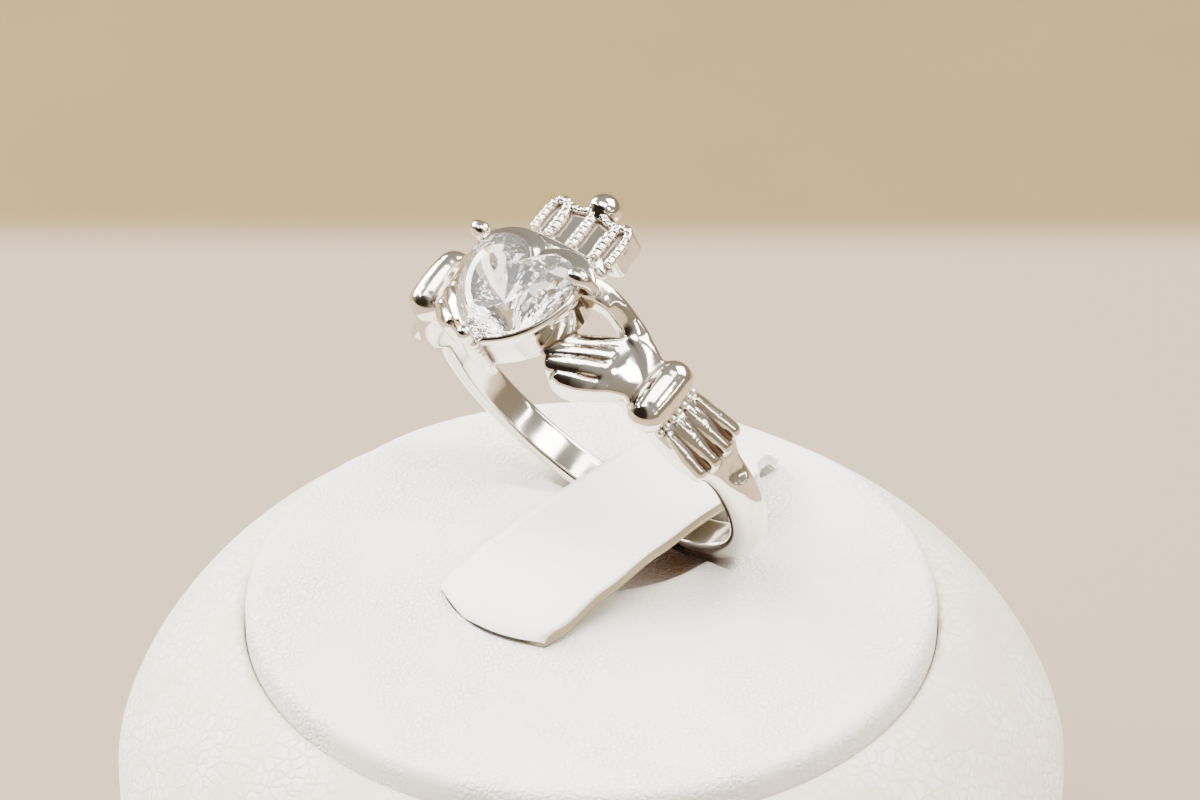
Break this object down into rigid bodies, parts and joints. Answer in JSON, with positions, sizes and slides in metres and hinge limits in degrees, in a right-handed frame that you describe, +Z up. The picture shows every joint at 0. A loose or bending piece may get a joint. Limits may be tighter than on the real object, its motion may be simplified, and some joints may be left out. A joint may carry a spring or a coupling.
{
  "type": "claddagh ring on a ring display stand",
  "caption": "Claddagh ring with two hands that hold a crowned heart stone, clipped leaning on a round leatherette ring stand.",
  "frame": {"origin": "centre of the stand's underside, where it rests", "axes": "+Z up out of the stand; +X across the ring's finger hollow; +Y along the leather clip from its free end to its root"},
  "size_m": [0.0474, 0.0474, 0.0479],
  "materials": {
    "stand_leatherette": "white leatherette with a fine grain, satin",
    "clip_leatherette": "white leatherette with a pebbled grain, satin",
    "silver": "cast sterling silver, polished",
    "heart_stone": "clear cubic zirconia, faceted"
  },
  "bodies": {
    "root": {"stand_base": "stand_leatherette", "stand_top": "stand_leatherette", "ring_clip": "clip_leatherette", "ring": "silver", "heart_stone": "heart_stone"}
  },
  "joints": []
}
